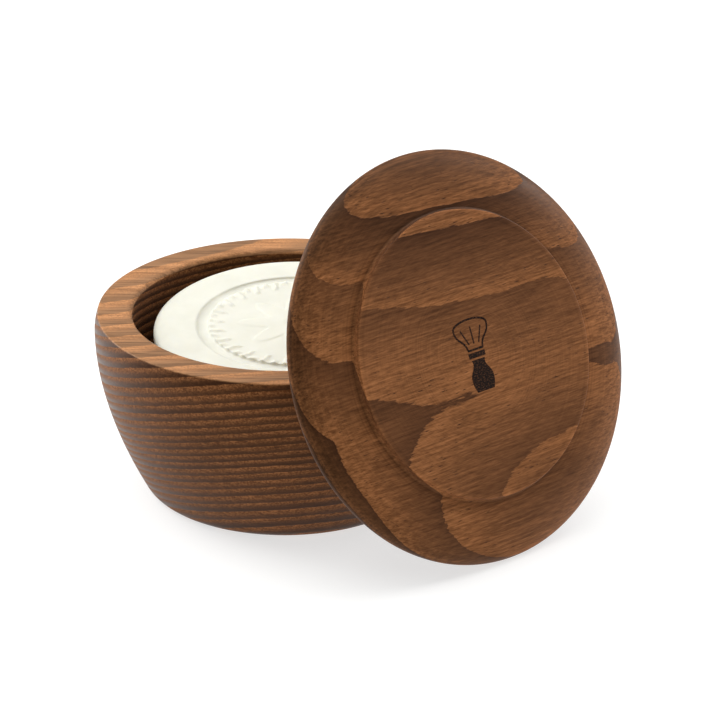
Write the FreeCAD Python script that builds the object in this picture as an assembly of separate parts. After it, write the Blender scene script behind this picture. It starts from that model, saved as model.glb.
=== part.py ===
import FreeCAD, Part
import math
import os

# Turned wooden shaving bowl, its loose lid standing on edge against the rim, and the soap in the bowl.
# Millimetres, +Z up, origin at the centre of the bowl's flat base.

# bowl
bowl_height = 47.0
rim_radius = 47.5          # outer radius at the flat top
rim_edge = 0.4             # softening of the outer top edge
belly_radius = 48.3        # widest radius
belly_height = 42.0        # height of the widest radius
foot_radius = 33.5         # flat that stands on the table
foot_top_radius = 37.0     # where the side leaves the rounded foot
foot_top_height = 2.2
mouth_radius = 38.7
mouth_edge = 1.2           # rounding of the inner top edge
cavity_wall_bottom = 27.4  # the straight wall turns into the hollow's curve here
cavity_floor = 15.8        # height of the hollow's flat floor
floor_radius = 10.0

# lid, described lying flat: its outer face is up, at height zero
lid_radius = 51.0
panel_radius = 35.4        # raised flat middle
panel_edge = 0.3
panel_step = 1.7           # how far the middle stands above the border beside it
step_width = 0.9           # hollow fillet at the foot of the step
border_drop = 6.9          # the convex border falls this far below the middle at the widest radius
flange_thickness = 7.9
flange_edge = 1.0
spigot_radius = 38.2       # drops into the mouth when the lid is on
spigot_height = 3.0
spigot_edge = 0.6
hollow_radius = 31.5       # turned-out middle of the underside
hollow_slope = 1.5
web_thickness = 9.3        # wood left between the outer face and the hollow

# how the lid stands
lean = math.radians(65.6)  # from lying flat; 24.4 degrees short of upright
turn = math.radians(39.8)  # the way it faces, about the vertical
slip = 14.0                # its centre stands this far along from the point that it leans on
lean_gap = 0.2

# soap
soap_radius = 35.9
soap_thickness = 18.0
soap_shoulder = 1.8        # height of the rounded shoulder
soap_shoulder_width = 4.0
soap_bevel = 1.5
soap_ring_radius = 24.4    # pressed ring round the medallion
soap_ring_width = 2.4
soap_ring_depth = 0.6
soap_centre = FreeCAD.Vector(2.45, -0.45, 43.0)
soap_tilt = math.radians(5.1)  # the near edge lies lower


def point(radius, height):
    return FreeCAD.Vector(radius, 0.0, height)


def line(start, end):
    return Part.LineSegment(start, end).toShape()


def arc(start, middle, end):
    return Part.Arc(start, middle, end).toShape()


def curve(*poles):
    bezier = Part.BezierCurve()
    bezier.setPoles(list(poles))
    return bezier.toShape()


def round_corner(centre_radius, centre_height, size, start_deg, end_deg):
    """Quarter round about a centre, from one angle to another in the radius-height plane."""
    def at(degrees):
        angle = math.radians(degrees)
        return point(centre_radius + size * math.cos(angle), centre_height + size * math.sin(angle))
    return arc(at(start_deg), at((start_deg + end_deg) / 2), at(end_deg))


def quarter_ellipse(centre_radius, centre_height, half_width, half_height, first, last):
    """Part of an upright ellipse; first and last are parameter angles in degrees, first below last."""
    major = point(centre_radius + half_width, centre_height)
    minor = point(centre_radius, centre_height + half_height)
    centre = point(centre_radius, centre_height)
    if half_width >= half_height:
        ellipse = Part.Ellipse(major, minor, centre)
        return ellipse.toShape(math.radians(first), math.radians(last))
    ellipse = Part.Ellipse(minor, point(centre_radius - half_width, centre_height), centre)
    return ellipse.toShape(math.radians(first - 90.0), math.radians(last - 90.0))


def turned(edges):
    """Solid of revolution about Z from an outline that starts and ends on the axis."""
    sorted_edges = Part.__sortEdges__(edges)
    face = Part.Face(Part.Wire(sorted_edges))
    solid = face.revolve(FreeCAD.Vector(0, 0, 0), FreeCAD.Vector(0, 0, 1), 360.0)
    if solid.Volume < 0:
        solid.reverse()
    return Part.Solid(solid.Shells[0]) if solid.ShapeType != "Solid" else solid


def make_bowl():
    rim_top = bowl_height
    side_tangent = 0.52
    foot = point(foot_radius, 0)
    foot_top = point(foot_top_radius, foot_top_height)
    belly = point(belly_radius, belly_height)
    rim_side = point(rim_radius, rim_top - rim_edge)
    belly_pull = 12.0
    foot_pull = 14.5
    mouth_round_height = rim_top - mouth_edge
    hollow_depth = cavity_wall_bottom - cavity_floor
    edges = [
        line(point(0, 0), foot),
        curve(foot, point(foot_top_radius - side_tangent * foot_top_height, 0), foot_top),
        curve(
            foot_top,
            point(foot_top_radius + side_tangent * foot_pull, foot_top_height + foot_pull),
            point(belly_radius, belly_height - belly_pull),
            belly,
        ),
        curve(belly, point(belly_radius, (belly_height + rim_top) / 2), rim_side),
        round_corner(rim_radius - rim_edge, rim_top - rim_edge, rim_edge, 0, 90),
        line(point(rim_radius - rim_edge, rim_top), point(mouth_radius + mouth_edge, rim_top)),
        round_corner(mouth_radius + mouth_edge, mouth_round_height, mouth_edge, 90, 180),
        line(point(mouth_radius, mouth_round_height), point(mouth_radius, cavity_wall_bottom)),
        quarter_ellipse(floor_radius, cavity_wall_bottom, mouth_radius - floor_radius, hollow_depth, 270, 360),
        line(point(floor_radius, cavity_floor), point(0, cavity_floor)),
        line(point(0, cavity_floor), point(0, 0)),
    ]
    return turned(edges)


def make_flat_lid():
    border_start = panel_radius + step_width
    border_height = border_drop - panel_step
    spigot_bottom = -(flange_thickness + spigot_height)
    hollow_inner = hollow_radius - hollow_slope
    edges = [
        line(point(0, 0), point(panel_radius - panel_edge, 0)),
        round_corner(panel_radius - panel_edge, -panel_edge, panel_edge, 90, 0),
        curve(point(panel_radius, -panel_edge), point(panel_radius, -panel_step), point(border_start, -panel_step)),
        quarter_ellipse(border_start, -border_drop, lid_radius - border_start, border_height, 0, 90),
        round_corner(lid_radius - flange_edge, -border_drop, flange_edge, 0, -90),
        line(point(lid_radius - flange_edge, -flange_thickness), point(spigot_radius, -flange_thickness)),
        line(point(spigot_radius, -flange_thickness), point(spigot_radius, spigot_bottom + spigot_edge)),
        line(point(spigot_radius, spigot_bottom + spigot_edge), point(spigot_radius - spigot_edge, spigot_bottom)),
        line(point(spigot_radius - spigot_edge, spigot_bottom), point(hollow_radius, spigot_bottom)),
        curve(
            point(hollow_radius, spigot_bottom),
            point(hollow_radius - hollow_slope / 2, -web_thickness),
            point(hollow_inner, -web_thickness),
        ),
        line(point(hollow_inner, -web_thickness), point(0, -web_thickness)),
        line(point(0, -web_thickness), point(0, 0)),
    ]
    return turned(edges)


def lid_placement():
    """Stands the lid on its lower edge and rests its hollow against the rim's outer top edge."""
    upright = math.sin(lean)    # share of a length in the lid's plane that is vertical
    facing_up = math.cos(lean)  # share of the lid's thickness that is vertical
    centre_height = (
        (lid_radius - flange_edge) * upright + (flange_thickness - flange_edge) * facing_up + flange_edge
    )
    rim_reach = (rim_radius - rim_edge) * upright + (bowl_height - rim_edge) * facing_up + rim_edge
    centre_distance = (rim_reach + web_thickness + lean_gap - centre_height * facing_up) / upright
    away = FreeCAD.Vector(math.sin(turn), -math.cos(turn), 0)
    along = FreeCAD.Vector(math.cos(turn), math.sin(turn), 0)
    centre = away * centre_distance + along * slip + FreeCAD.Vector(0, 0, centre_height)
    tip_back = FreeCAD.Rotation(FreeCAD.Vector(1, 0, 0), math.degrees(lean))
    face_round = FreeCAD.Rotation(FreeCAD.Vector(0, 0, 1), math.degrees(turn))
    return FreeCAD.Placement(centre, face_round.multiply(tip_back))


def make_lid():
    lid = make_flat_lid()
    lid.Placement = lid_placement()
    return lid


def make_soap():
    """Round cake, its top face at height zero before it is laid in the bowl."""
    ring_inner = soap_ring_radius - soap_ring_width / 2
    ring_outer = soap_ring_radius + soap_ring_width / 2
    shoulder_start = soap_radius - soap_shoulder_width
    edges = [
        line(point(0, 0), point(ring_inner, 0)),
        arc(point(ring_inner, 0), point(soap_ring_radius, -soap_ring_depth), point(ring_outer, 0)),
        line(point(ring_outer, 0), point(shoulder_start, 0)),
        quarter_ellipse(shoulder_start, -soap_shoulder, soap_shoulder_width, soap_shoulder, 0, 90),
        line(point(soap_radius, -soap_shoulder), point(soap_radius, soap_bevel - soap_thickness)),
        line(point(soap_radius, soap_bevel - soap_thickness), point(soap_radius - soap_bevel, -soap_thickness)),
        line(point(soap_radius - soap_bevel, -soap_thickness), point(0, -soap_thickness)),
        line(point(0, -soap_thickness), point(0, 0)),
    ]
    soap = turned(edges)
    tilt = FreeCAD.Rotation(FreeCAD.Vector(1, 0, 0), math.degrees(soap_tilt))
    soap.Placement = FreeCAD.Placement(soap_centre, tilt)
    return soap


def main():
    os.makedirs("parts", exist_ok=True)
    nodes = {
        "bowl": make_bowl(),
        "lid": make_lid(),
        "soap_puck": make_soap(),
    }
    for name, shape in nodes.items():
        shape.exportStep("parts/" + name + ".step")
        box = shape.BoundBox
        size = "%.2f x %.2f x %.2f" % (box.XLength, box.YLength, box.ZLength)
        print(name, shape.ShapeType, shape.isValid(), "volume %.0f" % shape.Volume, size, "z %.2f" % box.ZMin)


main()
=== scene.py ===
import math
import bmesh
import bpy
from mathutils import Euler, Matrix, Vector


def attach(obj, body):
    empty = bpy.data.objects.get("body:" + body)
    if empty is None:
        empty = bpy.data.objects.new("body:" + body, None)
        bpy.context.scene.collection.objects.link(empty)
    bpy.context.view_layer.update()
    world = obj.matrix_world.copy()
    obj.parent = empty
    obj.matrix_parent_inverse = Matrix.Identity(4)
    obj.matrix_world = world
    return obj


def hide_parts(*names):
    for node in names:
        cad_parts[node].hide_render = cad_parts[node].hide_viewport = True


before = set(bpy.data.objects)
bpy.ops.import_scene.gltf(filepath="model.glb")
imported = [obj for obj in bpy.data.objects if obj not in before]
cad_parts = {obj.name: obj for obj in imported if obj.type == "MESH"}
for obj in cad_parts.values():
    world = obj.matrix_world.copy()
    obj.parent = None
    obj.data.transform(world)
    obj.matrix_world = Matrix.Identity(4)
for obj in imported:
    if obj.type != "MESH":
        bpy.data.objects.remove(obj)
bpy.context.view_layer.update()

# Turned ash shaving bowl with its soap, and its loose lid standing on edge against the rim.
mm = 0.001  # every size below is in millimetres until this turns it into metres
print("frame loaded:", sorted(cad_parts))


# ways to write a node tree

def addNode(tree, kind, **settings):
    node = tree.nodes.new(kind)
    for name, value in settings.items():
        setattr(node, name, value)
    return node


def feed(tree, socket, value):
    if isinstance(value, bpy.types.NodeSocket):
        tree.links.new(value, socket)
    else:
        socket.default_value = value


def maths(tree, operation, *values):
    node = addNode(tree, "ShaderNodeMath", operation=operation)
    for socket, value in zip(node.inputs, values):
        feed(tree, socket, value)
    return node.outputs[0]


def total(tree, first, *others):
    for value in others:
        first = maths(tree, "ADD", first, value)
    return first


def product(tree, first, *others):
    for value in others:
        first = maths(tree, "MULTIPLY", first, value)
    return first


def difference(tree, value, taken):
    return maths(tree, "SUBTRACT", value, taken)


def distance(tree, x, y):
    # how far a point lies from an axis, from its two offsets
    return maths(tree, "SQRT", total(tree, product(tree, x, x), product(tree, y, y)))


def alongFibres(tree, point, squeeze):
    # squeezed along x, so that a pattern on the point is drawn out along the fibres
    node = addNode(tree, "ShaderNodeVectorMath", operation="MULTIPLY")
    feed(tree, node.inputs[0], point)
    feed(tree, node.inputs[1], (squeeze, 1.0, 1.0))
    return node.outputs[0]


def split(tree, point):
    node = addNode(tree, "ShaderNodeSeparateXYZ")
    feed(tree, node.inputs[0], point)
    return node.outputs[0], node.outputs[1], node.outputs[2]


def join(tree, x, y, z):
    node = addNode(tree, "ShaderNodeCombineXYZ")
    for socket, value in zip(node.inputs, (x, y, z)):
        feed(tree, socket, value)
    return node.outputs[0]


def noise(tree, point, scale, detail=2.0, roughness=0.5):
    node = addNode(tree, "ShaderNodeTexNoise")
    feed(tree, node.inputs["Vector"], point)
    node.inputs["Scale"].default_value = scale
    node.inputs["Detail"].default_value = detail
    node.inputs["Roughness"].default_value = roughness
    return node.outputs["Fac"]


def remap(tree, value, low, high, newLow=0.0, newHigh=1.0, shape="LINEAR"):
    node = addNode(tree, "ShaderNodeMapRange", interpolation_type=shape)
    for socket, number in zip(node.inputs, (value, low, high, newLow, newHigh)):
        feed(tree, socket, number)
    return node.outputs[0]


def ramp(tree, value, stops):
    node = addNode(tree, "ShaderNodeValToRGB")
    elements = node.color_ramp.elements
    elements[0].position, elements[1].position = stops[0][0], stops[-1][0]
    for position, shade in stops[1:-1]:
        elements.new(position)
    for element, (position, shade) in zip(elements, stops):
        element.position = position
        element.color = (shade, shade, shade, 1.0)
    feed(tree, node.inputs[0], value)
    return node.outputs[0]


def mixColour(tree, amount, first, second, blend="MIX"):
    node = addNode(tree, "ShaderNodeMix", data_type="RGBA", blend_type=blend)
    feed(tree, node.inputs["Factor"], amount)
    feed(tree, node.inputs[6], first)
    feed(tree, node.inputs[7], second)
    return node.outputs[2]


def newMaterial(name):
    material = bpy.data.materials.new(name)
    material.use_nodes = True
    tree = material.node_tree
    return material, tree, tree.nodes["Principled BSDF"]


def placedPoint(tree, place):
    # a point of the piece in its own axes, in millimetres
    coordinates = addNode(tree, "ShaderNodeTexCoord")
    mapping = addNode(tree, "ShaderNodeMapping", vector_type="TEXTURE")
    feed(tree, mapping.inputs["Vector"], coordinates.outputs["Object"])
    mapping.inputs["Location"].default_value = Vector(place["centre"]) * mm
    mapping.inputs["Rotation"].default_value = place["turn"]
    mapping.inputs["Scale"].default_value = (mm, mm, mm)
    return mapping.outputs["Vector"]


def addBump(tree, shader, height, strength, depth):
    bump = addNode(tree, "ShaderNodeBump")
    bump.inputs["Strength"].default_value = strength
    bump.inputs["Distance"].default_value = depth * mm
    feed(tree, bump.inputs["Height"], height)
    feed(tree, shader.inputs["Normal"], bump.outputs[0])


# camera, at the height and distance of a product shot through a long lens

cameraValues = {
    "lens": 165.4,             # on a 36 mm sensor
    "place": (18.75, -769.776, 370.673),
    "lookDown": 0.4140,        # radians below the horizon
}


def makeCamera(values):
    data = bpy.data.cameras.new("camera")
    data.lens = values["lens"]
    data.sensor_width = 36.0
    data.clip_start, data.clip_end = 0.05, 20.0    # metres
    camera = bpy.data.objects.new("camera", data)
    camera.location = Vector(values["place"]) * mm
    camera.rotation_euler = (math.pi / 2 - values["lookDown"], 0.0, 0.0)
    bpy.context.scene.collection.objects.link(camera)
    bpy.context.scene.camera = camera


makeCamera(cameraValues)
print("camera set")


# studio: a pale floor, large soft lights left, right and above, and an even surround

studioValues = {
    "floorSize": 12.0,         # metres
    "floorColour": (0.42, 0.42, 0.41),
    "floorGlow": 0.66,
    "surround": 0.30,
    "lights": {                # place, what it points at, width, height, watts
        "overhead": ((-30.0, 120.0, 720.0), (10.0, 0.0, 30.0), 900.0, 700.0, 5.0),
        "leftBox": ((-480.0, 220.0, 300.0), (-130.0, 60.0, 0.0), 300.0, 500.0, 3.2),
        "rightBox": ((560.0, 330.0, 380.0), (18.0, -5.0, 60.0), 300.0, 500.0, 1.6),
    },
}


def makeFloor(values):
    half = values["floorSize"] / 2
    mesh = bpy.data.meshes.new("floor")
    corners = [(-half, -half, 0.0), (half, -half, 0.0), (half, half, 0.0), (-half, half, 0.0)]
    mesh.from_pydata(corners, [], [(0, 1, 2, 3)])
    floor = bpy.data.objects.new("floor", mesh)
    bpy.context.scene.collection.objects.link(floor)
    material, tree, shader = newMaterial("pale_floor")
    point = placedPoint(tree, {"centre": (0, 0, 0), "turn": (0, 0, 0)})
    mottle = remap(tree, noise(tree, point, 0.02), 0.3, 0.7, 0.97, 1.0)
    colour = mixColour(tree, 1.0, (*values["floorColour"], 1.0), mottle, "MULTIPLY")
    feed(tree, shader.inputs["Base Color"], colour)
    shader.inputs["Roughness"].default_value = 0.85
    shader.inputs["Emission Color"].default_value = (1.0, 1.0, 1.0, 1.0)
    shader.inputs["Emission Strength"].default_value = values["floorGlow"]
    mesh.materials.append(material)


def makeLights(values):
    for name, (place, aim, width, height, watts) in values["lights"].items():
        data = bpy.data.lights.new(name, "AREA")
        data.shape = "RECTANGLE"
        data.size, data.size_y = width * mm, height * mm
        data.energy = watts
        light = bpy.data.objects.new(name, data)
        light.location = Vector(place) * mm
        light.rotation_euler = (light.location - Vector(aim) * mm).to_track_quat("Z", "Y").to_euler()
        bpy.context.scene.collection.objects.link(light)
    world = bpy.data.worlds.new("surround")
    world.use_nodes = True
    background = world.node_tree.nodes["Background"]
    background.inputs["Color"].default_value = (1.0, 1.0, 1.0, 1.0)
    background.inputs["Strength"].default_value = values["surround"]
    bpy.context.scene.world = world
    bpy.context.scene.view_settings.view_transform = "Standard"


makeFloor(studioValues)
makeLights(studioValues)
print("studio set")


# outlines: lists of (radius, height), each stretch without its last point

def straight(start, end, steps):
    return [tuple(a + (b - a) * i / steps for a, b in zip(start, end)) for i in range(steps)]


def bezier(poles, steps):
    def at(t):
        points = [Vector(p) for p in poles]
        while len(points) > 1:
            points = [a.lerp(b, t) for a, b in zip(points, points[1:])]
        return tuple(points[0])
    return [at(i / steps) for i in range(steps)]


def ellipseArc(centre, halfWidth, halfHeight, startDeg, endDeg, steps):
    def at(t):
        angle = math.radians(startDeg + (endDeg - startDeg) * t)
        return (centre[0] + halfWidth * math.cos(angle), centre[1] + halfHeight * math.sin(angle))
    return [at(i / steps) for i in range(steps)]


# the start and the end that both node trees share

def treeInputs(tree, sockets):
    for name, kind in sockets:
        tree.interface.new_socket(name=name, in_out="INPUT", socket_type=kind)
    tree.interface.new_socket(name="Piece", in_out="OUTPUT", socket_type="NodeSocketGeometry")
    return addNode(tree, "NodeGroupInput").outputs


def placeAndFinish(tree, given, geometry):
    placed = addNode(tree, "GeometryNodeTransform")
    feed(tree, placed.inputs["Geometry"], geometry)
    feed(tree, placed.inputs["Translation"], given["Centre"])
    feed(tree, placed.inputs["Rotation"], given["Turn"])
    realized = addNode(tree, "GeometryNodeRealizeInstances")
    feed(tree, realized.inputs[0], placed.outputs[0])
    finished = addNode(tree, "GeometryNodeSetMaterial")
    feed(tree, finished.inputs["Geometry"], realized.outputs[0])
    feed(tree, finished.inputs["Material"], given["Material"])
    feed(tree, addNode(tree, "NodeGroupOutput").inputs[0], finished.outputs[0])


def turningTree():
    # revolves an outline about the vertical, then sets the piece in place
    tree = bpy.data.node_groups.new("turning", "GeometryNodeTree")
    sockets = (
        ("Outline", "NodeSocketGeometry"),
        ("Segments", "NodeSocketInt"),
        ("Weld Distance", "NodeSocketFloat"),
        ("Centre", "NodeSocketVector"),
        ("Turn", "NodeSocketRotation"),
        ("Material", "NodeSocketMaterial"),
    )
    given = treeInputs(tree, sockets)

    rows = addNode(tree, "GeometryNodeAttributeDomainSize")
    feed(tree, rows.inputs[0], given["Outline"])
    rowCount = rows.outputs["Point Count"]
    grid = addNode(tree, "GeometryNodeMeshGrid")
    feed(tree, grid.inputs["Vertices X"], total(tree, given["Segments"], 1.0))
    feed(tree, grid.inputs["Vertices Y"], rowCount)

    index = addNode(tree, "GeometryNodeInputIndex").outputs[0]
    row = maths(tree, "MODULO", index, rowCount)
    column = maths(tree, "FLOOR", maths(tree, "DIVIDE", total(tree, index, 0.5), rowCount))
    sample = addNode(tree, "GeometryNodeSampleIndex", data_type="FLOAT_VECTOR", domain="POINT")
    feed(tree, sample.inputs["Geometry"], given["Outline"])
    feed(tree, sample.inputs["Value"], addNode(tree, "GeometryNodeInputPosition").outputs[0])
    feed(tree, sample.inputs["Index"], row)
    radius, _, height = split(tree, sample.outputs[0])
    angle = product(tree, maths(tree, "DIVIDE", column, given["Segments"]), 2 * math.pi)
    x = product(tree, radius, maths(tree, "COSINE", angle))
    y = product(tree, radius, maths(tree, "SINE", angle))
    shaped = addNode(tree, "GeometryNodeSetPosition")
    feed(tree, shaped.inputs["Geometry"], grid.outputs["Mesh"])
    feed(tree, shaped.inputs["Position"], join(tree, x, y, height))
    welded = addNode(tree, "GeometryNodeMergeByDistance")
    feed(tree, welded.inputs["Geometry"], shaped.outputs[0])
    feed(tree, welded.inputs["Distance"], given["Weld Distance"])

    placeAndFinish(tree, given, welded.outputs[0])
    return tree


turning = turningTree()


def outlineObject(name, outline):
    mesh = bpy.data.meshes.new(name)
    points = [(radius * mm, 0.0, height * mm) for radius, height in outline]
    mesh.from_pydata(points, [(i, i + 1) for i in range(len(points) - 1)], [])
    piece = bpy.data.objects.new(name, mesh)
    bpy.context.scene.collection.objects.link(piece)
    return piece


def runTree(piece, tree, inputs):
    # gives the tree its inputs, then keeps its result as a plain mesh
    modifier = piece.modifiers.new(tree.name, "NODES")
    modifier.node_group = tree
    for item in tree.interface.items_tree:
        if item.item_type == "SOCKET" and item.in_out == "INPUT" and item.name in inputs:
            modifier[item.identifier] = inputs[item.name]
    graph = bpy.context.evaluated_depsgraph_get()
    mesh = bpy.data.meshes.new_from_object(piece.evaluated_get(graph))
    piece.modifiers.clear()
    piece.data = mesh
    work = bmesh.new()
    work.from_mesh(mesh)
    bmesh.ops.recalc_face_normals(work, faces=work.faces)
    for face in work.faces:
        face.smooth = True
    work.to_mesh(mesh)
    work.free()
    print("  ", piece.name, len(mesh.polygons), "faces")


def turnPiece(name, outline, segments, place, material):
    piece = outlineObject(name, outline)
    runTree(piece, turning, {
        "Segments": segments,
        "Weld Distance": 0.01 * mm,    # closes the seam and both poles
        "Centre": tuple(Vector(place["centre"]) * mm),
        "Turn": tuple(place["turn"]),
        "Material": material,
    })
    return piece


# heat-treated ash: rings of pale open-pored wood that darken to dense wood, with the fibres along x

woodValues = {
    "paleColour": (0.370, 0.150, 0.056, 1.0),
    "warmColour": (0.175, 0.064, 0.022, 1.0),
    "darkColour": (0.048, 0.019, 0.010, 1.0),
    "poreColour": (0.026, 0.010, 0.005, 1.0),
    # colour added as painted top light on the bowl's rim
    "topLightColour": (0.915, 0.498, 0.238, 1.0),
    "paleRoughness": 0.66,
    "darkRoughness": 0.34,
    "ior": 1.38,
    "oilTint": (0.80, 0.38, 0.16, 1.0),
    # patterns: squeeze along the fibres, then features per millimetre
    "longWaves": (0.5, 0.05),
    "smallWaves": (0.4, 0.35),
    "fibreEnds": (0.14, 1.3),
    "streaks": (0.05, 1.5),
    "clouds": (0.4, 0.09),
    "pores": (0.14, 1.7),
    "poreSize": (0.12, 0.26),
    "poreShare": ((0.0, 1.0), (0.2, 0.8), (0.45, 0.3), (1.0, 0.08)),    # most pores at a ring's start
    "poreStrength": 0.9,
    "streakTone": 0.16,
    "cloudTone": (0.86, 1.12),
    "relief": {"ring": 0.3, "speckle": 0.4, "pore": -1.0, "toolMarks": 0.2},
    "reliefDepth": 0.12,
    "reliefStrength": 0.6,
}


def wander(tree, pattern, reach):
    return remap(tree, pattern, 0.0, 1.0, -reach, reach)


def throughRing(tree, values, point, ringCoordinate, own):
    # how far through its ring a point lies, from 0 to 1, and how dark the wood is there
    def pattern(name, *detail):
        squeeze, scale = values[name]
        return noise(tree, alongFibres(tree, point, squeeze), scale, *detail)
    long, small, ends = own["wander"]
    ring = total(
        tree,
        ringCoordinate(tree, point),
        wander(tree, pattern("longWaves"), long),
        wander(tree, pattern("smallWaves"), small),
        wander(tree, pattern("fibreEnds", 3.0, 0.65), ends),
    )
    chance = addNode(tree, "ShaderNodeTexWhiteNoise", noise_dimensions="1D")    # one number for each year
    feed(tree, chance.inputs["W"], maths(tree, "FLOOR", ring))
    bend = remap(tree, chance.outputs["Value"], 0.0, 1.0, *own["yearBend"])
    through = maths(tree, "POWER", maths(tree, "FRACT", ring), bend)
    depth = remap(tree, chance.outputs["Value"], 0.0, 1.0, *own["yearDepth"])
    return through, product(tree, ramp(tree, through, own["ringShade"]), depth)


def poreMarks(tree, values, point, through):
    squeeze, scale = values["pores"]
    cells = addNode(tree, "ShaderNodeTexVoronoi", feature="F1")
    feed(tree, cells.inputs["Vector"], alongFibres(tree, point, squeeze))
    cells.inputs["Scale"].default_value = scale
    here = ramp(tree, through, values["poreShare"])
    patches = remap(tree, noise(tree, point, 0.6, 1.0), 0.42, 0.6)
    dots = remap(tree, cells.outputs["Distance"], *values["poreSize"], 1.0, 0.0)
    return product(tree, dots, here, patches)


def nearRadius(tree, fromAxis, radius, reach, amount):
    # amount at the radius, nothing beyond its reach
    away = maths(tree, "ABSOLUTE", difference(tree, fromAxis, radius))
    return remap(tree, away, 0.1, reach, amount, 0.0)


def paintedShadingAndTone(tree, tone, point, fromAxis, own):
    # adds painted light and shade to the lid: painted shade on the left of its outer edge, a painted
    # highlight on the panel's edge and painted shade in the corner below it; and darkens it upwards
    x, y, z = split(tree, point)
    tone = total(tree, tone, remap(tree, y, *own["upperEdge"]))
    # painted shade along the left of the lid's outer edge
    start, end, darker, right, left = own["shadedLeftEdge"]
    leftEdgeShade = remap(tree, fromAxis, start, end, 0.0, darker)
    tone = total(tree, tone, product(tree, leftEdgeShade, remap(tree, x, right, left)))
    # painted highlight on the panel's edge and painted shade in the corner at the foot of its step
    highlightRadius, paler, creaseRadius, darker, lowest = own["panelEdgeLight"]
    edgeHighlight = nearRadius(tree, fromAxis, highlightRadius, 0.4, paler)
    creaseShade = nearRadius(tree, fromAxis, creaseRadius, 0.6, darker)
    onTop = maths(tree, "GREATER_THAN", z, lowest)
    return total(tree, tone, product(tree, total(tree, edgeHighlight, creaseShade), onTop))


def paintedTopLight(tree, point, fromAxis, streak, own):
    # painted top light: the rim's flat top is painted lighter, standing in for the overhead light falling
    # on it
    mouthEdge, flatStart, lowest, highest, amount = own["topLightBand"]
    height = split(tree, point)[2]
    border = remap(tree, fromAxis, mouthEdge, flatStart, lowest, highest)
    topLight = remap(tree, difference(tree, height, border), -0.15, 0.15, 0.0, amount)
    return product(tree, topLight, remap(tree, streak, 0.35, 0.65, 0.62, 1.34))


def ashMaterial(name, values, place, ringCoordinate, own):
    material, tree, shader = newMaterial(name)
    point = placedPoint(tree, place)
    through, shade = throughRing(tree, values, point, ringCoordinate, own)

    fleckSqueeze, share, fleckScale = own["fleck"]
    speckle = noise(tree, alongFibres(tree, point, fleckSqueeze), fleckScale, 2.0, 0.6)
    streakSqueeze, streakScale = values["streaks"]
    streak = noise(tree, alongFibres(tree, point, streakSqueeze), streakScale, 3.0, 0.65)
    cloudSqueeze, cloudScale = values["clouds"]
    cloud = noise(tree, alongFibres(tree, point, cloudSqueeze), cloudScale, 3.0, 0.55)
    grain = total(tree, product(tree, speckle, share), product(tree, streak, 1 - share))
    paleness = remap(tree, grain, *own["grainRange"])
    body = mixColour(tree, paleness, values["warmColour"], values["paleColour"])
    body = mixColour(tree, shade, body, values["darkColour"])
    pore = poreMarks(tree, values, point, through)
    body = mixColour(tree, product(tree, pore, values["poreStrength"]), body, values["poreColour"])

    x, y, z = split(tree, point)
    fromAxis = distance(tree, x, y)
    toolMarks = noise(tree, join(tree, fromAxis, z, 0.0), 1.6, 2.0, 0.6)
    lowTone, highTone = values["cloudTone"]
    tone = total(
        tree,
        remap(tree, streak, 0.3, 0.7, -values["streakTone"], values["streakTone"]),
        remap(tree, toolMarks, 0.3, 0.7, -own["toolMarks"], own["toolMarks"]),
        remap(tree, cloud, 0.3, 0.7, lowTone * own["tone"], highTone * own["tone"]),
    )
    if "panelEdgeLight" in own:
        tone = paintedShadingAndTone(tree, tone, point, fromAxis, own)
    body = mixColour(tree, 1.0, body, join(tree, tone, tone, tone), "MULTIPLY")
    # painted top light: a lighter colour added on the rim's flat top
    if "topLightBand" in own:
        topLight = paintedTopLight(tree, point, fromAxis, streak, own)
        body = mixColour(tree, topLight, body, values["topLightColour"], "ADD")
    feed(tree, shader.inputs["Base Color"], body)
    shader.inputs["IOR"].default_value = values["ior"]
    shader.inputs["Specular Tint"].default_value = values["oilTint"]

    rough = remap(tree, shade, 0.0, 1.0, values["paleRoughness"], values["darkRoughness"])
    rough = total(tree, rough, remap(tree, speckle, 0.3, 0.7, -0.06, 0.06))
    feed(tree, shader.inputs["Roughness"], rough)

    relief = values["relief"]
    height = total(
        tree,
        product(tree, shade, relief["ring"]),
        product(tree, speckle, relief["speckle"]),
        product(tree, pore, relief["pore"]),
        product(tree, toolMarks, relief["toolMarks"]),
    )
    addBump(tree, shader, height, values["reliefStrength"], values["reliefDepth"])
    return material


# bowl

bowlValues = {
    "height": 47.0,
    "rimRadius": 47.5,
    "rimEdge": 0.4,
    "bellyRadius": 48.3,
    "bellyHeight": 42.0,
    "footRadius": 33.5,
    "footTop": (37.0, 2.2),
    "sideSlope": 0.52,
    "mouthRadius": 38.7,
    "mouthEdge": 1.2,
    "wallBottom": 27.4,
    "floorHeight": 15.8,
    "floorRadius": 10.0,
    "footPull": 14.5,          # how far the side's curve runs on straight from foot and belly
    "bellyPull": 12.0,
    "segments": 400,
    "pith": (68.0, 320.0),     # the tree's centre, in y and z: above and behind the bowl
    "rise": 0.08,              # the rings climb this much towards the right
    "ringWidth": 2.045,
    "firstRing": 290.6,        # distance from the pith at which a ring starts
    "swell": (0.65, 45.0),     # how far wide and narrow years shift the rings, and over what depth
    "wander": (0.12, 0.05, 0.12),           # long waves, small waves, ragged fibre ends
    "yearBend": (0.8, 1.25),   # early wood is narrow in one year and wide in another
    "yearDepth": (1.0, 0.85),  # how dark the years get
    "ringShade": (             # place in the ring, darkness
        (0.0, 0.0),
        (0.1, 0.06),
        (0.34, 0.3),
        (0.55, 0.78),
        (0.75, 0.95),
        (0.95, 1.0),
        (1.0, 0.0),
    ),
    "fleck": (0.7, 0.85, 2.6),  # squeeze along the fibres, strength beside the streaks, flecks per mm
    "tone": 0.70,              # how light the whole piece is
    "grainRange": (0.44, 0.57),
    "toolMarks": 0.07,         # strength of the turning marks
    # painted top light on the rim's flat top: radii and heights of its border, amount
    "topLightBand": (38.9, 40.2, 46.0, 46.75, 0.215),    # radii and heights of its border, amount
}


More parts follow.
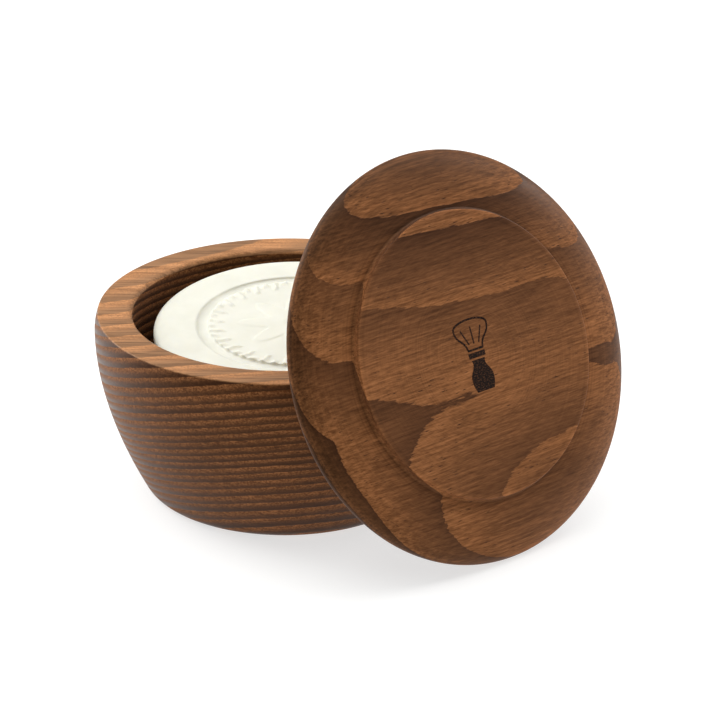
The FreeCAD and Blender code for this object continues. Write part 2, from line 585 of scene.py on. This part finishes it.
def bowlOutline(values):
    rimTop = values["height"]
    footTop = values["footTop"]
    slope = values["sideSlope"]
    belly = (values["bellyRadius"], values["bellyHeight"])
    edge = values["rimEdge"]
    rimSide = (values["rimRadius"], rimTop - edge)
    mouthEdge = values["mouthEdge"]
    mouth = values["mouthRadius"]
    wallBottom = values["wallBottom"]
    floorHeight = values["floorHeight"]
    floorRadius = values["floorRadius"]
    footPull, bellyPull = values["footPull"], values["bellyPull"]
    foot = (values["footRadius"], 0.0)
    points = straight((0.0, 0.0), foot, 10)
    points += bezier((foot, (footTop[0] - slope * footTop[1], 0.0), footTop), 8)
    aboveFoot = (footTop[0] + slope * footPull, footTop[1] + footPull)
    belowBelly = (belly[0], belly[1] - bellyPull)
    points += bezier((footTop, aboveFoot, belowBelly, belly), 70)
    points += bezier((belly, (belly[0], (belly[1] + rimTop) / 2), rimSide), 12)
    points += ellipseArc((rimSide[0] - edge, rimTop - edge), edge, edge, 0, 90, 6)
    points += straight((rimSide[0] - edge, rimTop), (mouth + mouthEdge, rimTop), 12)
    points += ellipseArc((mouth + mouthEdge, rimTop - mouthEdge), mouthEdge, mouthEdge, 90, 180, 8)
    points += straight((mouth, rimTop - mouthEdge), (mouth, wallBottom), 24)
    hollowWidth, hollowDepth = mouth - floorRadius, wallBottom - floorHeight
    points += ellipseArc((floorRadius, wallBottom), hollowWidth, hollowDepth, 0, -90, 44)
    points += straight((floorRadius, floorHeight), (0.0, floorHeight), 5)
    return points + [(0.0, floorHeight)]


def bowlRings(tree, point):
    # rings are long arcs about the pith, counted outwards, which is downwards here
    x, y, z = split(tree, point)
    pithY, pithZ = bowlValues["pith"]
    across = difference(tree, y, pithY)
    up = total(tree, z, product(tree, x, -bowlValues["rise"]), -pithZ)
    outwards = difference(tree, distance(tree, across, up), bowlValues["firstRing"])
    shift, period = bowlValues["swell"]
    swell = maths(tree, "SINE", product(tree, outwards, 2 * math.pi / period))
    even = maths(tree, "DIVIDE", outwards, bowlValues["ringWidth"])
    return total(tree, even, product(tree, swell, -shift))


upright = {"centre": (0.0, 0.0, 0.0), "turn": (0.0, 0.0, 0.0)}
bowlWood = ashMaterial("bowl_ash", woodValues, upright, bowlRings, bowlValues)
bowl = turnPiece("turned_bowl", bowlOutline(bowlValues), bowlValues["segments"], upright, bowlWood)
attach(bowl, "bowl")
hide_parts("bowl")
print("bowl made")


# lid, described lying flat with its outer face up at height zero

lidValues = {
    "radius": 51.0,
    "panelRadius": 35.4,
    "panelEdge": 0.3,
    "panelStep": 1.7,
    "stepWidth": 0.9,
    "borderDrop": 6.9,
    "flangeThickness": 7.9,
    "flangeEdge": 1.0,
    "spigotRadius": 38.2,
    "spigotHeight": 3.0,
    "spigotEdge": 0.6,
    "hollowRadius": 31.5,
    "hollowSlope": 1.5,
    "webThickness": 9.3,
    "segments": 480,
    "lean": math.radians(65.6),
    "turn": math.radians(39.8),
    "slip": 14.0,
    "leanGap": 0.2,
    "layerDepth": 4.0,         # thickness of a year's growth, straight down from the face
    "trough": (-9.8, -0.012, 0.8, 0.038),   # where the layers dip: height, tilt, roundness, steepness
    "layerDrift": 0.009,
    "layerBend": (0.0009, 0.00136),         # the layers curve down to both sides and to the top
    "layerHills": (            # x, y, reach and rise
        (-3.0, 4.0, 28.0, 2.38),
        (-1.6, -3.6, 10.4, -0.5),
        (9.6, -52.0, 30.5, 2.06),
        (-48.0, -32.0, 13.0, -0.42),
        (40.0, -11.0, 3.2, -0.16),
    ),
    "layerBase": 40.6,
    "thinYears": (42.0, 0.8),  # below this layer the years are thinner, by this much more per layer
    "wander": (0.02, 0.012, 0.06),
    "yearBend": (0.6, 2.4),
    "yearDepth": (1.12, 0.64),
    "ringShade": (
        (0.0, 0.0),
        (0.06, 0.1),
        (0.2, 0.38),
        (0.5, 0.6),
        (0.85, 0.8),
        (0.96, 0.9),
        (0.982, 1.0),
        (1.0, 0.0),
    ),
    "fleck": (0.14, 0.5, 2.8),
    "tone": 1.0,
    "grainRange": (0.37, 0.64),
    "toolMarks": 0.13,
    "upperEdge": (30.0, 50.0, 0.0, -0.3),         # darker upwards: both heights and both tones
    "shadedLeftEdge": (46.3, 50.8, -0.48, 0.0, -25.0),  # painted shade on the left of the outer edge, darker outwards: radii, tone, and x from none to all
    "panelEdgeLight": (35.15, 0.3, 36.0, -0.3, -2.0),  # painted highlight on the panel's edge, painted shade in the corner at the foot of its step: radius and tone; lowest z
}


def lidOutline(values):
    radius, edge, drop = values["radius"], values["flangeEdge"], values["borderDrop"]
    panel, step, panelEdge = values["panelRadius"], values["panelStep"], values["panelEdge"]
    borderStart = panel + values["stepWidth"]
    flange, web = values["flangeThickness"], values["webThickness"]
    spigot, bevel = values["spigotRadius"], values["spigotEdge"]
    spigotBottom = -(flange + values["spigotHeight"])
    hollow, hollowSlope = values["hollowRadius"], values["hollowSlope"]
    points = straight((0.0, 0.0), (panel - panelEdge, 0.0), 30)
    points += ellipseArc((panel - panelEdge, -panelEdge), panelEdge, panelEdge, 90, 0, 5)
    points += bezier(((panel, -panelEdge), (panel, -step), (borderStart, -step)), 10)
    points += ellipseArc((borderStart, -drop), radius - borderStart, drop - step, 90, 0, 56)
    points += ellipseArc((radius - edge, -drop), edge, edge, 0, -90, 10)
    points += straight((radius - edge, -flange), (spigot, -flange), 12)
    points += straight((spigot, -flange), (spigot, spigotBottom + bevel), 5)
    points += straight((spigot, spigotBottom + bevel), (spigot - bevel, spigotBottom), 2)
    points += straight((spigot - bevel, spigotBottom), (hollow, spigotBottom), 6)
    hollowFloor = (hollow - hollowSlope, -web)
    points += bezier(((hollow, spigotBottom), (hollow - hollowSlope / 2, -web), hollowFloor), 8)
    points += straight(hollowFloor, (0.0, -web), 20)
    return points + [(0.0, -web)]


def lidPlace(values):
    # on its lower edge, with the hollow side against the bowl's outer top edge
    sine, cosine = math.sin(values["lean"]), math.cos(values["lean"])
    edge, rimEdge = values["flangeEdge"], bowlValues["rimEdge"]
    rimRadius, rimHeight = bowlValues["rimRadius"] - rimEdge, bowlValues["height"] - rimEdge
    height = (values["radius"] - edge) * sine + (values["flangeThickness"] - edge) * cosine + edge
    rimReach = rimRadius * sine + rimHeight * cosine + rimEdge
    standOff = (rimReach + values["webThickness"] + values["leanGap"] - height * cosine) / sine
    turn = values["turn"]
    away = Vector((math.sin(turn), -math.cos(turn), 0.0))
    along = Vector((math.cos(turn), math.sin(turn), 0.0))
    centre = away * standOff + along * values["slip"] + Vector((0.0, 0.0, height))
    return {"centre": tuple(centre), "turn": (values["lean"], 0.0, turn)}


def lidRings(tree, point):
    # nearly flat layers with a trough, a slight bend and low hills, which the border cuts into lobes
    def squared(value):
        return maths(tree, "POWER", value, 2.0)
    x, y, z = split(tree, point)
    values = lidValues
    height, tilt, roundness, steepness = values["trough"]
    bendSideways, bendUpwards = values["layerBend"]
    across = total(tree, y, product(tree, x, -tilt), -height)
    fromTrough = maths(tree, "SQRT", total(tree, product(tree, across, across), roundness ** 2))
    layers = total(
        tree,
        product(tree, difference(tree, fromTrough, roundness), steepness),
        product(tree, x, values["layerDrift"]),
        product(tree, x, x, bendSideways),
        product(tree, squared(maths(tree, "MAXIMUM", y, 0.0)), bendUpwards),
        maths(tree, "DIVIDE", z, values["layerDepth"]),
        values["layerBase"],
    )
    for hillX, hillY, reach, rise in values["layerHills"]:
        alongX = squared(maths(tree, "ABSOLUTE", difference(tree, x, hillX)))
        alongY = squared(maths(tree, "ABSOLUTE", difference(tree, y, hillY)))
        fall = maths(tree, "DIVIDE", total(tree, alongX, alongY), -2.0 * reach ** 2)
        layers = total(tree, layers, product(tree, maths(tree, "EXPONENT", fall), rise))
    thinBelow, thinner = values["thinYears"]
    below = maths(tree, "MAXIMUM", difference(tree, thinBelow, layers), 0.0)
    return maths(tree, "MULTIPLY_ADD", below, -thinner, layers)


leaning = lidPlace(lidValues)
lidWood = ashMaterial("lid_ash", woodValues, leaning, lidRings, lidValues)
lid = turnPiece("turned_lid", lidOutline(lidValues), lidValues["segments"], leaning, lidWood)
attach(lid, "lid")
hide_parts("lid")
print("lid made")


# a small shaving brush burnt into the middle of the lid

motifValues = {
    "stroke": 0.5,
    "char": 0.02,              # how far the charred skin stands above and below the face
    "knotTop": 8.6,            # the knot is the fan of bristles
    "knotBottom": 1.1,
    "knotWidth": 10.6,
    "knotCrown": 1.9,
    "crownBulge": 0.6,
    "knotPull": 3.0,           # how far its sides run on straight at both ends
    "bristleLines": (-0.5, 0.0, 0.5),
    "bristleSpread": 1.2,
    "bristleGap": 1.5,         # from the knot's foot to the lines in it
    "collarTop": 0.4,
    "collarBottom": -0.9,
    "collarWidth": 5.2,
    "handle": ((2.1, -1.4), (0.9, -4.0), (4.6, -3.8), (3.7, -7.0), (2.7, -9.2)),   # its right side
    "charColour": (0.014, 0.008, 0.006, 1.0),
    "patchColour": (0.10, 0.04, 0.018, 1.0),
}


def charMaterial(values):
    material, tree, shader = newMaterial("charred_wood")
    point = placedPoint(tree, leaning)
    patchy = remap(tree, noise(tree, alongFibres(tree, point, 0.5), 3.2, 2.0, 0.6), 0.5, 0.68)
    colour = mixColour(tree, patchy, values["charColour"], values["patchColour"])
    feed(tree, shader.inputs["Base Color"], colour)
    shader.inputs["IOR"].default_value = 1.2
    feed(tree, shader.inputs["Roughness"], remap(tree, patchy, 0.0, 1.0, 0.8, 0.6))
    return material


def addPlate(work, corners, thickness):
    # a thin closed plate on the lid's face, with the given outline
    top = [work.verts.new((x, y, thickness)) for x, y in corners]
    bottom = [work.verts.new((x, y, -thickness)) for x, y in corners]
    work.faces.new(top)
    work.faces.new(bottom[::-1])
    for i in range(len(corners)):
        j = (i + 1) % len(corners)
        work.faces.new((top[j], top[i], bottom[i], bottom[j]))


def strokeCorners(start, end, width):
    along = (Vector(end) - Vector(start)).normalized()
    side = Vector((-along.y, along.x)) * width / 2
    reach = along * width / 4
    first, last = Vector(start) - reach, Vector(end) + reach
    return [tuple(first - side), tuple(last - side), tuple(last + side), tuple(first + side)]


def knotOutline(values):
    # an open fan with a domed top
    collar, knot = values["collarWidth"] / 2, values["knotWidth"] / 2
    foot, top, pull = values["knotBottom"], values["knotTop"], values["knotPull"]
    shoulder = top - values["knotCrown"]
    bulge = top + values["crownBulge"]
    footCorner, shoulderCorner = (-collar + 0.3, foot), (-knot, shoulder)
    left = bezier((footCorner, (-collar, foot + pull), (-knot, shoulder - pull), shoulderCorner), 8)
    over = bezier((shoulderCorner, (-knot, bulge), (knot, bulge), (knot, shoulder)), 14)
    right = [(-x, y) for x, y in left[::-1]]
    outline = left + over + [(knot, shoulder)] + right
    return outline + [outline[0]]


def makeMotif(values):
    work = bmesh.new()
    stroke, thickness = values["stroke"], values["char"]
    collar, knot = values["collarWidth"] / 2, values["knotWidth"] / 2
    outline = knotOutline(values)
    for start, end in zip(outline, outline[1:]):
        addPlate(work, strokeCorners(start, end, stroke), thickness)
    low = values["knotBottom"] + values["bristleGap"]
    high = values["knotTop"] - values["knotCrown"]
    for lean in values["bristleLines"]:
        spread = lean * values["bristleSpread"]
        start, end = (spread * collar, low), (spread * knot, high - abs(lean) * 0.8)
        addPlate(work, strokeCorners(start, end, stroke * 0.8), thickness)

    # collar and turned handle: charred all over
    bottom, top = values["collarBottom"], values["collarTop"]
    addPlate(work, [(-collar, bottom), (collar, bottom), (collar, top), (-collar, top)], thickness)
    side = bezier(values["handle"], 16) + [values["handle"][-1]]
    addPlate(work, side[::-1] + [(-x, y) for x, y in side], thickness)

    turn = Euler(leaning["turn"]).to_matrix().to_4x4()
    place = Matrix.Translation(Vector(leaning["centre"]) * mm) @ turn
    bmesh.ops.transform(work, matrix=place @ Matrix.Scale(mm, 4), verts=work.verts)
    bmesh.ops.triangulate(work, faces=work.faces)
    bmesh.ops.recalc_face_normals(work, faces=work.faces)
    mesh = bpy.data.meshes.new("lid_burnt_motif")
    work.to_mesh(mesh)
    work.free()
    piece = bpy.data.objects.new("lid_burnt_motif", mesh)
    bpy.context.scene.collection.objects.link(piece)
    mesh.materials.append(charMaterial(values))
    return piece


motif = makeMotif(motifValues)
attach(motif, "lid")
print("motif burnt in")


# soap

soapValues = {
    "radius": 35.9,
    "thickness": 18.0,
    "shoulderDrop": 1.8,
    "shoulderWidth": 4.0,
    "bevel": 1.5,
    "ringRadius": 23.5,
    "ringWidth": 3.0,
    "ringDepth": 0.7,
    "centre": (2.45, -0.45, 43.0),
    "turn": (math.radians(5.1), 0.0, 0.0),
    "segments": 480,
    "bandInside": 17.6,
    "bandOutside": 22.9,
    "leaves": 50.0,
    "leafSlant": 3.2,
    "leafHeight": 0.5,
    "petals": 8.0,
    "petalHeight": 0.25,
    "petalReach": 15.0,
    "shadedColour": (0.64, 0.635, 0.55, 1.0),
    "lightColour": (0.69, 0.685, 0.60, 1.0),
    "subsurface": 0.25,
    "subsurfaceRadius": (3.0, 2.5, 1.5),
}


def soapOutline(values):
    radius, drop, width = values["radius"], values["shoulderDrop"], values["shoulderWidth"]
    thickness, bevel = values["thickness"], values["bevel"]
    ring, half, depth = values["ringRadius"], values["ringWidth"] / 2, values["ringDepth"]
    points = straight((0.0, 0.0), (ring - half, 0.0), 62)
    points += ellipseArc((ring, 0.0), half, depth, 180, 360, 16)
    points += straight((ring + half, 0.0), (radius - width, 0.0), 10)
    points += ellipseArc((radius - width, -drop), width, drop, 90, 0, 16)
    points += straight((radius, -drop), (radius, bevel - thickness), 10)
    points += straight((radius, bevel - thickness), (radius - bevel, -thickness), 2)
    points += straight((radius - bevel, -thickness), (0.0, -thickness), 12)
    return points + [(0.0, -thickness)]


def soapMaterial(values):
    material, tree, shader = newMaterial("pressed_soap")
    point = placedPoint(tree, values)
    cloud = noise(tree, point, 0.12, 3.0)
    grain = noise(tree, point, 3.0, 2.0)
    cloudiness = remap(tree, cloud, 0.35, 0.65)
    tint = mixColour(tree, cloudiness, values["shadedColour"], values["lightColour"])
    feed(tree, shader.inputs["Base Color"], tint)
    shader.inputs["Subsurface Weight"].default_value = values["subsurface"]
    shader.inputs["Subsurface Radius"].default_value = Vector(values["subsurfaceRadius"]) * mm
    shader.inputs["Subsurface Scale"].default_value = 1.0
    feed(tree, shader.inputs["Roughness"], remap(tree, grain, 0.3, 0.7, 0.42, 0.52))
    addBump(tree, shader, grain, 0.25, 0.08)
    return material


def pressingTree():
    # presses a ring of slanted leaves and a faint rosette into a turned cake, then sets it in place
    tree = bpy.data.node_groups.new("pressing", "GeometryNodeTree")
    sockets = (
        ("Cake", "NodeSocketGeometry"),
        ("Leaves", "NodeSocketFloat"),
        ("Leaf Slant", "NodeSocketFloat"),
        ("Leaf Height", "NodeSocketFloat"),
        ("Band Inside", "NodeSocketFloat"),
        ("Band Outside", "NodeSocketFloat"),
        ("Petals", "NodeSocketFloat"),
        ("Petal Height", "NodeSocketFloat"),
        ("Petal Reach", "NodeSocketFloat"),
        ("Centre", "NodeSocketVector"),
        ("Turn", "NodeSocketRotation"),
        ("Material", "NodeSocketMaterial"),
    )
    given = treeInputs(tree, sockets)

    x, y, z = split(tree, addNode(tree, "GeometryNodeInputPosition").outputs[0])
    radius = distance(tree, x, y)
    angle = maths(tree, "ARCTAN2", y, x)
    onTop = maths(tree, "GREATER_THAN", z, -0.3 * mm)

    # leaves: slanted ridges, alternately long and short, that fade at both edges of their band
    width = difference(tree, given["Band Outside"], given["Band Inside"])
    across = maths(tree, "DIVIDE", difference(tree, radius, given["Band Inside"]), width)
    slant = product(tree, across, given["Leaf Slant"])
    patchesPerMetre = 350.0
    worn = noise(tree, join(tree, x, y, 0.0), patchesPerMetre, 2.0)
    wornByUse = remap(tree, worn, 0.25, 0.75, -1.3, 1.3)
    phase = total(tree, product(tree, angle, given["Leaves"]), slant, wornByUse)
    ridge = maths(tree, "POWER", remap(tree, maths(tree, "COSINE", phase), -1.0, 1.0), 1.6)
    everySecond = maths(tree, "COSINE", product(tree, phase, 0.5))
    leafStart = remap(tree, everySecond, -1.0, 1.0, 0.0, 0.45)
    rises = remap(tree, across, leafStart, total(tree, leafStart, 0.3), 0.0, 1.0, "SMOOTHSTEP")
    falls = remap(tree, across, 0.78, 1.0, 1.0, 0.0, "SMOOTHSTEP")
    leaf = product(tree, ridge, rises, falls, given["Leaf Height"])

    # rosette: soft petals round the middle
    out = maths(tree, "DIVIDE", radius, given["Petal Reach"])
    petalTurn = maths(tree, "COSINE", product(tree, angle, given["Petals"]))
    edge = maths(tree, "MULTIPLY_ADD", remap(tree, petalTurn, -1.0, 1.0), 0.45, 0.55)
    petal = remap(tree, out, difference(tree, edge, 0.12), edge, 1.0, 0.0, "SMOOTHSTEP")
    heart = remap(tree, out, 0.12, 0.2, 0.0, 1.0, "SMOOTHSTEP")
    petal = product(tree, petal, heart, given["Petal Height"])

    lift = product(tree, total(tree, leaf, petal), onTop)
    pressed = addNode(tree, "GeometryNodeSetPosition")
    feed(tree, pressed.inputs["Geometry"], given["Cake"])
    feed(tree, pressed.inputs["Offset"], join(tree, 0.0, 0.0, lift))
    placeAndFinish(tree, given, pressed.outputs[0])
    return tree


pressedSoap = soapMaterial(soapValues)
cakeOutline = soapOutline(soapValues)
soap = turnPiece("pressed_soap_cake", cakeOutline, soapValues["segments"], upright, pressedSoap)
runTree(soap, pressingTree(), {
    "Leaves": soapValues["leaves"],
    "Leaf Slant": soapValues["leafSlant"],
    "Leaf Height": soapValues["leafHeight"] * mm,
    "Band Inside": soapValues["bandInside"] * mm,
    "Band Outside": soapValues["bandOutside"] * mm,
    "Petals": soapValues["petals"],
    "Petal Height": soapValues["petalHeight"] * mm,
    "Petal Reach": soapValues["petalReach"] * mm,
    "Centre": tuple(Vector(soapValues["centre"]) * mm),
    "Turn": soapValues["turn"],
    "Material": pressedSoap,
})
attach(soap, "soap")
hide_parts("soap_puck")
print("soap made")
